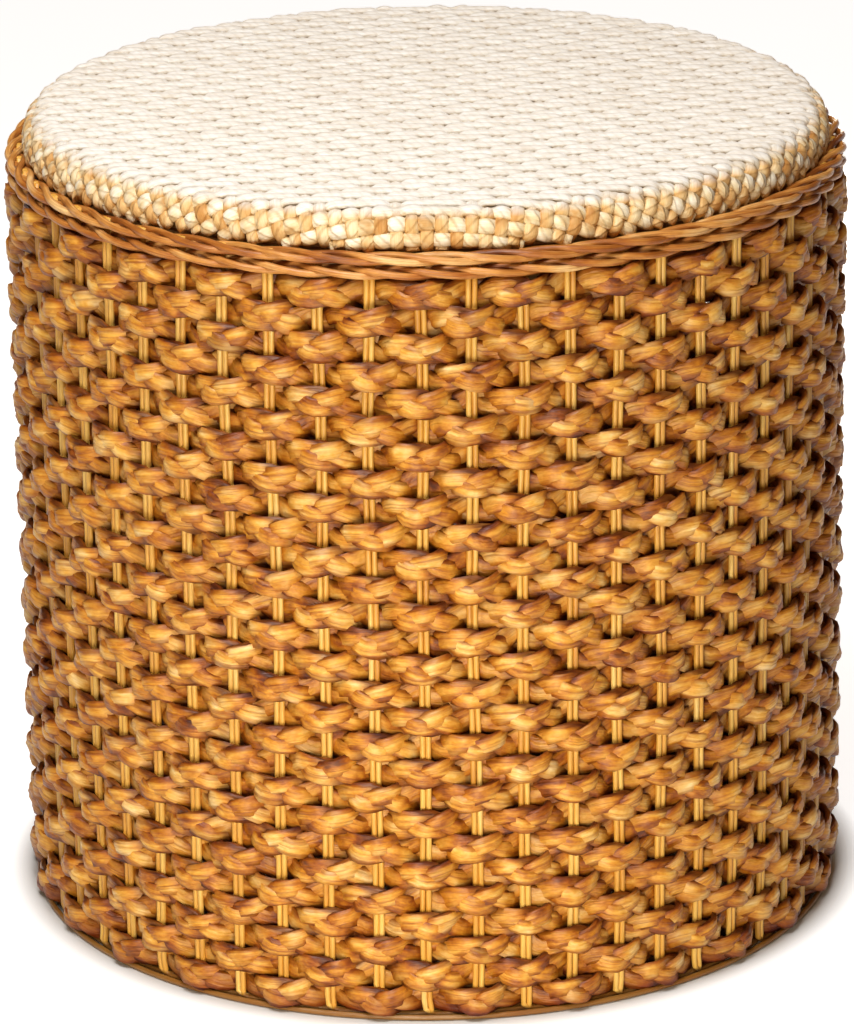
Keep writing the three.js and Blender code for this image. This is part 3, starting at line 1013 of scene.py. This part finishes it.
# %% Hoops, uprights and rails
POLE_RADIUS = 9.0
POLE_SIDES = 20
HOOP_RING = 196.49
INNER_HOOP_RING = 178.19
BOTTOM_HOOP_Z, MIDDLE_HOOP_Z, TOP_HOOP_Z = 13.3, 205.7, 398.0
HOOP_POINTS = 120
UPRIGHTS = 8
UPRIGHT_INSET = 2.0
POLE_POINTS = 12
RAIL_REACH = HOOP_RING - 3.0
HALF_RAIL_START = 3.0

hoop_angle = np.linspace(0, FULL_TURN, HOOP_POINTS, endpoint=False)
upright_top, upright_foot = TOP_HOOP_Z - UPRIGHT_INSET, BOTTOM_HOOP_Z + UPRIGHT_INSET
upright_z = np.linspace(upright_top, upright_foot, POLE_POINTS)
hoops = {
    "bottom_hoop": (HOOP_RING, BOTTOM_HOOP_Z),
    "middle_hoop": (INNER_HOOP_RING, MIDDLE_HOOP_Z),
    "top_hoop": (HOOP_RING, TOP_HOOP_Z),
}
rails = {
    "seat_rail_long": ((-RAIL_REACH, 0), (RAIL_REACH, 0)),
    "seat_rail_front": ((0, -HALF_RAIL_START), (0, -RAIL_REACH)),
    "seat_rail_back": ((0, HALF_RAIL_START), (0, RAIL_REACH)),
}
poles = {}
for name, (ring, z) in hoops.items():
    poles[name] = (on_drum(hoop_angle, np.full(HOOP_POINTS, ring), z), True, "Z_UP")
for i in range(UPRIGHTS):
    angle = np.full(POLE_POINTS, (i + 0.5) * FULL_TURN / UPRIGHTS)
    poles[f"upright_{i + 1}"] = (on_drum(angle, HOOP_RING, upright_z), False, "MINIMUM")
for name, (start, end) in rails.items():
    line = np.linspace((*start, TOP_HOOP_Z), (*end, TOP_HOOP_Z), POLE_POINTS)
    poles[name] = (line, False, "Z_UP")
for name, (line, closed, twist) in poles.items():
    section = oval(POLE_RADIUS, POLE_RADIUS, POLE_SIDES)
    piece = sweep(name, [line], section, closed=closed, twist=twist)
    finish_piece(piece, rattan_finish, [name])

# %% [markdown]
# ## The board's finish
#
# The board is a plywood disc. On its faces the wood's grain shows, and on its edge the
# layers do. Two materials could do this, but on a CAD piece the faces would have to be told
# apart first, so one material follows where the surface faces.

# %% Plywood material
# Bare plywood: dry and matt, with a long grain on its faces.
board_finish = new_material("plywood", {"Roughness": 0.6, "Specular IOR Level": 0.3})
place = add_node(board_finish, "TexCoord", {}, "Object")
# Grain 3 mm apart and 80 mm long.
spread = add_node(board_finish, "Mapping", {"Vector": place, "Scale": (12, 320, 12)})
inputs = {"Vector": spread, "Scale": 1.0, "Detail": 4.0, "Roughness": 0.55}
grain = add_node(board_finish, "TexNoise", inputs)
stops = [(0.3, "#B48E5C"), (0.5, "#CDAA78"), (0.7, "#DDC297")]
face = add_node(board_finish, "ValToRGB", {"Fac": grain}, stops=stops)
# Layers 1.5 mm thick.
height = add_node(board_finish, "SeparateXYZ", {"Vector": place}, "Z")
layer = add_node(board_finish, "Math", {0: height, 1: 0.0015}, operation="PINGPONG")
layer = add_node(board_finish, "MapRange", {"Value": layer, "From Max": 0.0015})
stops = [(0.4, "#9A7244"), (0.6, "#D9BC8C")]
edge = add_node(board_finish, "ValToRGB", {"Fac": layer}, stops=stops)
normal = add_node(board_finish, "NewGeometry", {}, "Normal")
upness = add_node(board_finish, "SeparateXYZ", {"Vector": normal}, "Z")
upness = add_node(board_finish, "Math", {0: upness}, operation="ABSOLUTE")
inputs = {"Value": upness, "From Min": 0.4, "From Max": 0.6}
flat = add_node(board_finish, "MapRange", inputs)
tone = add_node(board_finish, "Mix", {0: flat, 6: edge, 7: face}, 2, data_type="RGBA")
inputs = {"Height": grain, "Distance": 0.0003, "Strength": 0.5}
bump = add_node(board_finish, "Bump", inputs)
link_shader(board_finish, {"Base Color": tone, "Normal": bump})

# %% [markdown]
# ## The screws' finish
#
# The wood screws are zinc-plated steel, and the plating is crystals of slightly different
# greys. One even grey would do for pieces so small, but would look like plastic close by.

# %% Zinc material
# Zinc-plated steel: a dull shine, with a spangle 1 mm across.
screw_finish = new_material("zinc_plated_steel", {"Roughness": 0.32, "Metallic": 1.0})
place = add_node(screw_finish, "TexCoord", {}, "Object")
spread = add_node(screw_finish, "Mapping", {"Vector": place, "Scale": (900, 900, 900)})
inputs = {"Vector": spread, "Scale": 1.0, "Detail": 2.0, "Roughness": 0.55}
spangle = add_node(screw_finish, "TexNoise", inputs)
stops = [(0.3, "#A9ABAE"), (0.7, "#CDCFD2")]
tone = add_node(screw_finish, "ValToRGB", {"Fac": spangle}, stops=stops)
link_shader(screw_finish, {"Base Color": tone})

# %% [markdown]
# ## Board and screws
#
# Their CAD shapes are right as they are: a flat disc, and screws whose heads lie under the
# mat. So these pieces stay, and only get their finish.

# %% Dressing the board and the screws
for name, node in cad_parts.items():
    if name == "seat_board" or name.startswith("board_screw"):
        node.data.materials.clear()
        node.data.materials.append(board_finish if name == "seat_board" else screw_finish)
        print("dressed:", name)

# %% [markdown]
# ## Last update
#
# The scene is brought up to date once more.

# %% Finish
bpy.context.view_layer.update()
